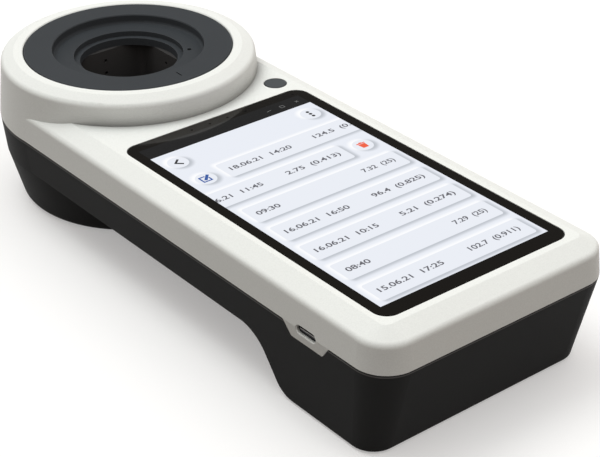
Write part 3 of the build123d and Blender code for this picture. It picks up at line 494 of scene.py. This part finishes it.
def soft_box(tree, place, centre, half, corner):
    """Distance to a rounded box in the plane, from place. Negative inside."""
    moved = vector_node(tree, "SUBTRACT", place, (*centre, 0)).outputs[0]
    away = vector_node(tree, "ABSOLUTE", moved).outputs[0]
    past = vector_node(tree, "SUBTRACT", away, (half[0] - corner, half[1] - corner, 0)).outputs[0]
    outer = vector_node(tree, "MAXIMUM", past, (0, 0, 0)).outputs[0]
    reach = vector_node(tree, "LENGTH", outer).outputs["Value"]
    parts = node(tree, "ShaderNodeSeparateXYZ", {0: past})
    inner = math_node(tree, "MAXIMUM", parts.outputs[0], parts.outputs[1])
    inner = math_node(tree, "MINIMUM", inner, 0.0)
    return math_node(tree, "SUBTRACT", math_node(tree, "ADD", reach, inner), corner)


def card(tree, place, left, right, middle):
    """Distance to a card between two sides, about the height of its middle."""
    half = ((right - left) / 2, card_height / 2)
    return soft_box(tree, place, ((left + right) / 2, middle), half, card_corner)


def repeated_card(tree, place):
    """Distance to the cards from the third row down: one card that repeats."""
    third = row_first - 2 * row_pitch
    parts = node(tree, "ShaderNodeSeparateXYZ", {0: place})
    down = math_node(tree, "MINIMUM", parts.outputs[1], third + row_pitch / 2)
    level = math_node(tree, "SUBTRACT", down, third)
    level = math_node(tree, "WRAP", level, row_pitch / 2, -row_pitch / 2)
    folded = node(tree, "ShaderNodeCombineXYZ", {0: parts.outputs[0], 1: level}).outputs[0]
    return card(tree, folded, card_left, card_right, 0)


def cards_mask(tree, place, inner, outer):
    """1 inside every card and spot, 0 outside, soft between the distances inner and outer."""
    distances = [
        card(tree, place, first_left, past_display, row_first),
        card(tree, place, -past_display, second_right, row_first - row_pitch),
        repeated_card(tree, place),
    ]
    for centre in spots.values():
        away = vector_node(tree, "DISTANCE", place, (*centre, 0)).outputs["Value"]
        distances.append(math_node(tree, "SUBTRACT", away, spot_radius))
    nearest = distances[0]
    for other in distances[1:]:
        nearest = math_node(tree, "MINIMUM", nearest, other)
    return map_range(tree, nearest, inner, outer, 1.0, 0.0, smooth=True)


def shifted(tree, place, shift):
    """The place as seen from a shape that is moved by shift."""
    return vector_node(tree, "SUBTRACT", place, (*shift, 0)).outputs[0]


def light_up(tree, shader, colour, specular):
    """Makes the surface shine by itself in that colour. Unlit, it is near black."""
    tree.links.new(colour, shader.inputs["Emission Color"])
    shader.inputs["Emission Strength"].default_value = 1.0
    shader.inputs["Base Color"].default_value = unlit_colour
    shader.inputs["Specular IOR Level"].default_value = specular


def display_image():
    """What the lit display shows: a dark bar and soft raised cards on a pale ground."""
    material, tree, shader = new_material("display_image")
    place = vector_node(tree, "MULTIPLY", own_place(tree), (1 / mm, 1 / mm, 1 / mm)).outputs[0]
    face = cards_mask(tree, place, *face_fade)
    shine = cards_mask(tree, shifted(tree, place, shine_shift), *shine_fade)
    gloom = cards_mask(tree, shifted(tree, place, gloom_shift), *gloom_fade)
    image = mix_colour(tree, gloom, ground_colour, gloom_colour)
    image = mix_colour(tree, shine, image, shine_colour)
    image = mix_colour(tree, face, image, card_colour)
    height = node(tree, "ShaderNodeSeparateXYZ", {0: place}).outputs[1]
    bar = math_node(tree, "GREATER_THAN", height, lit_back)
    light_up(tree, shader, mix_colour(tree, bar, image, bar_colour), sheet_specular)
    smear(tree, shader)
    return material


def lit_ink(name, colour):
    """A lit colour of a figure on the display, with a slight unevenness of the panel."""
    material, tree, shader = new_material(name)
    cells = noise(tree, own_place(tree), cell_size)
    ink = mix_colour(tree, cells, shade(colour, 1 - ink_swing), shade(colour, 1 + ink_swing))
    light_up(tree, shader, ink, ink_specular)
    return material


def thicken(form, low, high):
    """Turns the flat faces of form into thin solids between two heights."""
    for vert in form.verts:
        vert.co.z = high
    walls = bmesh.ops.extrude_face_region(form, geom=form.faces[:])
    for item in walls["geom"]:
        if isinstance(item, bmesh.types.BMVert):
            item.co.z = low
    bmesh.ops.recalc_face_normals(form, faces=form.faces[:])


def to_mesh(form, name, *finishes):
    """Ends the form and returns its mesh, with these finishes."""
    mesh = bpy.data.meshes.new(name)
    form.to_mesh(mesh)
    form.free()
    for material in finishes:
        mesh.materials.append(material)
    return mesh


def add_piece(name, mesh, place=(0, 0, 0)):
    """Puts a mesh on the housing, with the origin that it was drawn about at place."""
    piece = bpy.data.objects.new(name, mesh)
    bpy.context.scene.collection.objects.link(piece)
    piece.location = place
    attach(piece, "housing")


def rectangle(left, right, front, back):
    """Corners of a rectangle, in turn."""
    return [(left, front), (right, front), (right, back), (left, back)]


def draw_face(form, points):
    """Adds one flat face through points given in millimetres."""
    form.faces.new([form.verts.new((x * mm, y * mm, 0)) for x, y in points])


def draw_stroke(form, start, end, width):
    """Adds a straight stroke with square ends."""
    start, end = Vector(start), Vector(end)
    along = (end - start).normalized() * width / 2
    across = Vector((-along.y, along.x))
    draw_face(form, [start - along - across, end + along - across, end + along + across,
                     start - along + across])


def draw_disc(form, centre, radius):
    """Adds a round spot."""
    turns = [2 * math.pi * count / disc_corners for count in range(disc_corners)]
    draw_face(form, [(centre[0] + radius * math.cos(turn), centre[1] + radius * math.sin(turn))
                     for turn in turns])


def display_sheet():
    """Thin lit sheet in the glass, from the front of the cards to the dark bar at the back."""
    form = bmesh.new()
    draw_face(form, rectangle(lit_left, lit_right, lit_front, bar_back))
    thicken(form, -sink, lift / 2)
    add_piece("display_image", to_mesh(form, "display_image", display_image()), glass_middle)


def back_sign(form):
    """Angle that points left."""
    x, y = spots["back"]
    tip, ends, half, line = x - 0.95, x + 0.75, 1.5, 0.75
    draw_stroke(form, (ends, y + half), (tip, y), line)
    draw_stroke(form, (tip, y), (ends, y - half), line)


def menu_sign(form):
    """Three dots above each other."""
    x, y = spots["menu"]
    pitch, radius = 1.6, 0.62
    for drop in (-pitch, 0, pitch):
        draw_disc(form, (x, y + drop), radius)


def edit_sign(form):
    """Open square with a pen across it."""
    x, y = spots["edit"]
    low, high, left, right = y - 1.65, y + 1.35, x - 1.75, x + 1.15
    top_end, side_end, line = x + 0.1, y - 0.1, 0.55
    pen_tip, pen_end, pen = (x - 0.35, y - 0.5), (x + 1.45, y + 1.5), 1.0
    draw_stroke(form, (left, low), (right, low), line)
    draw_stroke(form, (left, low), (left, high), line)
    draw_stroke(form, (left, high), (top_end, high), line)
    draw_stroke(form, (right, low), (right, side_end), line)
    draw_stroke(form, pen_tip, pen_end, pen)


def bin_sign(form):
    """Bin with its lid and handle."""
    x, y = spots["bin"]
    foot, brim, lid, handle = y - 1.75, y + 0.85, y + 1.3, y + 1.7
    foot_half, brim_half, handle_half = 1.1, 1.35, 0.3
    lid_line, handle_line = 0.5, 0.4
    draw_face(form, [(x - foot_half, foot), (x + foot_half, foot),
                     (x + brim_half, brim), (x - brim_half, brim)])
    draw_stroke(form, (x - brim_half, lid), (x + brim_half, lid), lid_line)
    draw_stroke(form, (x - handle_half, handle), (x + handle_half, handle), handle_line)


def bar_signs(form):
    """Small signs of the dark bar: a bent line, a square and a cross."""
    y = 55.3
    bend, bend_line = [(16.3, y - 0.15), (17.1, y + 0.15), (17.9, y + 0.15)], 0.22
    square, square_half, square_line = 22.55, 0.7, 0.2
    cross_left, cross_right, cross_half, cross_line = 28.3, 29.1, 0.4, 0.25
    for start, end in zip(bend, bend[1:]):
        draw_stroke(form, start, end, bend_line)
    corners = rectangle(square - square_half, square + square_half, y - square_half, y + square_half)
    for start, end in zip(corners, corners[1:] + corners[:1]):
        draw_stroke(form, start, end, square_line)
    draw_stroke(form, (cross_left, y - cross_half), (cross_right, y + cross_half), cross_line)
    draw_stroke(form, (cross_left, y + cross_half), (cross_right, y - cross_half), cross_line)


def display_signs():
    """Signs in the spots and in the bar, each a thin solid on the lit sheet."""
    looks = (
        ("display_sign_back", back_sign, sign_dark),
        ("display_sign_menu", menu_sign, sign_dark),
        ("display_sign_edit", edit_sign, sign_blue),
        ("display_sign_bin", bin_sign, sign_red),
        ("display_signs_bar", bar_signs, sign_grey),
    )
    for name, draw, colour in looks:
        form = bmesh.new()
        draw(form)
        thicken(form, lift / 2, lift)
        add_piece(name, to_mesh(form, name, lit_ink(name, colour)), glass_middle)


def figures(form, text, left, middle, width):
    """Adds plain figures that start at left and are as wide as width, in millimetres."""
    curve = bpy.data.curves.new("figures", "FONT")
    curve.body = text
    curve.size = figure_height
    curve.offset = stroke_gain
    shape = bpy.data.objects.new("figures", curve)
    bpy.context.scene.collection.objects.link(shape)
    depsgraph = bpy.context.evaluated_depsgraph_get()
    mesh = bpy.data.meshes.new_from_object(shape.evaluated_get(depsgraph))
    bpy.data.objects.remove(shape)
    xs = [vert.co.x for vert in mesh.vertices]
    ys = [vert.co.y for vert in mesh.vertices]
    across = width / (max(xs) - min(xs))
    centre_y = (max(ys) + min(ys)) / 2
    place = Matrix.Translation((left * mm, middle * mm, 0)) @ Matrix.Diagonal((across * mm, mm, mm, 1))
    mesh.transform(place @ Matrix.Translation((-min(xs), -centre_y, 0)))
    form.from_mesh(mesh)
    bpy.data.meshes.remove(mesh)


def figure_starts(row, label_width, reading_width):
    """Where the label and the reading of a row start, in millimetres."""
    if row == 0:
        return first_label_left, first_reading_left
    if row == 1:
        return second_label_right - label_width, second_reading_right - reading_width
    return label_left, reading_right - reading_width


def display_figures():
    """Rows of plain figures: a date or time at the left of each card, a reading at the right."""
    form = bmesh.new()
    for row, (label, label_width, reading, reading_width) in enumerate(rows):
        middle = row_first - row * row_pitch
        label_start, reading_start = figure_starts(row, label_width, reading_width)
        figures(form, label, label_start, middle, label_width)
        figures(form, reading, reading_start, middle, reading_width)
    for edge, out in ((lit_left, -1), (lit_right, 1)):
        bmesh.ops.bisect_plane(form, geom=form.verts[:] + form.edges[:] + form.faces[:],
                               plane_co=(edge * mm, 0, 0), plane_no=(out, 0, 0), clear_outer=True)
    thicken(form, lift / 2, lift)
    ink = lit_ink("display_figures", figure_colour)
    add_piece("display_figures", to_mesh(form, "display_figures", ink), glass_middle)


def band_sensors():
    """Small dark windows of the sensors in the band behind the display."""
    form = bmesh.new()
    for x in sensor_columns:
        draw_disc(form, (x, sensor_row), sensor_radius)
    draw_disc(form, side_sensor, side_sensor_radius)
    thicken(form, -sink, lift / 2)
    dark = finish("sensor_window", (0.001, 0.001, 0.001), 0.2, depth=0, specular=0.05)
    add_piece("band_sensors", to_mesh(form, "band_sensors", dark), glass_middle)


def port_tongue_tip():
    """End of the tongue in the mouth of the charging port: dark, with its bevelled edges painted pale as
    a highlight.
    """
    low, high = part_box("port_tongue")
    half_wide, half_thick = (high.y - low.y) / mm / 2, (high.z - low.z) / mm / 2
    form = bmesh.new()
    draw_face(form, rectangle(-half_wide, half_wide, -half_thick, half_thick))
    thicken(form, 0, tongue_reach * mm)
    flat = bmesh.ops.bevel(form, geom=form.edges[:], offset=tongue_edge * mm, segments=1, affect="EDGES")
    for face in flat["faces"]:
        face.material_index = 1
    # The bevels are painted pale as a highlight
    edge_highlight = finish("pale_resin_painted_highlight", (0.60, 0.62, 0.64), 0.4, grain=0.2 * mm, depth=0.002 * mm)
    mesh = to_mesh(form, "port_tongue_tip", materials["chip_black"], edge_highlight)
    # The drawn plane becomes the end of the tongue: its x runs along Y, its height out along -X
    axes = Matrix(((0, 0, -1), (1, 0, 0), (0, -1, 0))).to_4x4()
    mesh.transform(Matrix.Translation((low.x, (low.y + high.y) / 2, (low.z + high.z) / 2)) @ axes)
    add_piece("port_tongue_tip", mesh)


def ring_marks():
    """Black ink on the floor of the ring's tick and dot."""
    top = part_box("head_ring")[1].z
    x, y = tick_middle
    half_wide, half_long = tick_half
    tick = bmesh.new()
    draw_face(tick, rectangle(x - half_wide, x + half_wide, y - half_long, y + half_long))
    dot = bmesh.new()
    draw_disc(dot, dot_middle, dot_radius)
    ink = finish("mark_ink", (0.004, 0.004, 0.004), 0.6, grain=0.2 * mm, depth=0.004 * mm, specular=0.05)
    recess = top - recess_depth * mm
    for name, form, face in (("ring_tick_ink", tick, top), ("ring_dot_ink", dot, recess)):
        bed = face - mark_depth * mm
        thicken(form, bed, bed + mark_fill * mm)
        add_piece(name, to_mesh(form, name, ink))


def floor():
    """Pale floor that shows white to the camera and throws little light on the object."""
    form = bmesh.new()
    bmesh.ops.create_grid(form, x_segments=floor_cells, y_segments=floor_cells, size=floor_size / 2)
    material, tree, shader = new_material("pale_floor")
    ray = node(tree, "ShaderNodeLightPath").outputs
    seen = math_node(tree, "MAXIMUM", ray["Is Camera Ray"], ray["Is Glossy Ray"])
    seen = math_node(tree, "MAXIMUM", seen, ray["Is Transmission Ray"])
    pale = mix_colour(tree, noise(tree, own_place(tree), floor_patch), *floor_shown)
    tree.links.new(mix_colour(tree, seen, floor_hidden, pale), shader.inputs["Base Color"])
    tree.links.new(mix_colour(tree, seen, black, floor_glow), shader.inputs["Emission Color"])
    shader.inputs["Emission Strength"].default_value = 1.0
    shader.inputs["Roughness"].default_value = floor_roughness
    shader.inputs["Specular IOR Level"].default_value = 0.0
    piece = bpy.data.objects.new("floor", to_mesh(form, "floor", material))
    bpy.context.scene.collection.objects.link(piece)


def world():
    """Soft dome, brighter overhead and behind the object to the right. The camera sees white.

    Mirrors see white low down, under a dark ceiling.
    """
    scene_world = bpy.data.worlds.new("studio")
    bpy.context.scene.world = scene_world
    scene_world.use_nodes = True
    tree = scene_world.node_tree
    tree.nodes.clear()
    ray = node(tree, "ShaderNodeLightPath").outputs
    direction = node(tree, "ShaderNodeTexCoord").outputs["Generated"]
    height = node(tree, "ShaderNodeSeparateXYZ", {0: direction}).outputs[2]
    side = vector_node(tree, "DOT_PRODUCT", direction, dome_bright_side).outputs["Value"]
    around = map_range(tree, side, -1.0, 1.0, -dome_swing, dome_swing)
    rising = map_range(tree, height, 0.0, 1.0, dome_low, dome_high)
    level = math_node(tree, "ADD", rising, around)
    colour = mix_colour(tree, map_range(tree, height, *dome_turn), dome_warm, dome_cool)
    dome = node(tree, "ShaderNodeBackground", {"Color": colour, "Strength": level}).outputs[0]
    ceiling = map_range(tree, height, *mirror_fade, 1.0, mirror_ceiling, smooth=True)
    mirrored = node(tree, "ShaderNodeBackground", {"Color": white, "Strength": ceiling}).outputs[0]
    backdrop = node(tree, "ShaderNodeBackground", {"Color": white, "Strength": 1.0}).outputs[0]
    glossy = math_node(tree, "MAXIMUM", ray["Is Glossy Ray"], ray["Is Transmission Ray"])
    shown = node(tree, "ShaderNodeMixShader", {0: glossy, 1: dome, 2: mirrored}).outputs[0]
    shown = node(tree, "ShaderNodeMixShader", {0: ray["Is Camera Ray"], 1: shown, 2: backdrop}).outputs[0]
    node(tree, "ShaderNodeOutputWorld", {"Surface": shown})


def softbox():
    """Square soft lamp that lights a level white face to about lamp_level."""
    lamp = bpy.data.lights.new("softbox", "AREA")
    lamp.shape = "SQUARE"
    lamp.size = lamp_size
    lamp.energy = lamp_level * math.pi ** 2 * lamp_distance ** 2
    lamp.color = lamp_colour
    place = bpy.data.objects.new("softbox", lamp)
    bpy.context.scene.collection.objects.link(place)
    out = Vector(lamp_from).normalized()
    place.location = lamp_aim + out * lamp_distance
    place.rotation_euler = out.to_track_quat("Z", "Y").to_euler()


def camera():
    """Camera at the angle of the photograph."""
    turn, rise, roll = (math.radians(angle) for angle in (camera_azimuth, camera_elevation, camera_roll))
    back = Vector((math.sin(turn) * math.cos(rise), -math.cos(turn) * math.cos(rise), math.sin(rise)))
    right = Vector((math.cos(turn), math.sin(turn), 0))
    up = back.cross(right)
    tilted_right = math.cos(roll) * right + math.sin(roll) * up
    tilted_up = math.cos(roll) * up - math.sin(roll) * right
    data = bpy.data.cameras.new("camera")
    data.lens = camera_lens
    data.sensor_width = camera_sensor
    data.clip_start = camera_near
    data.clip_end = camera_far
    view = bpy.data.objects.new("camera", data)
    bpy.context.scene.collection.objects.link(view)
    axes = Matrix((tilted_right, tilted_up, back)).transposed().to_4x4()
    view.matrix_world = Matrix.Translation(camera_place) @ axes
    bpy.context.scene.camera = view


dress_nodes()
display_sheet()
display_signs()
display_figures()
band_sensors()
ring_marks()
port_tongue_tip()
floor()
world()
softbox()
camera()
bpy.context.scene.view_settings.view_transform = "Standard"
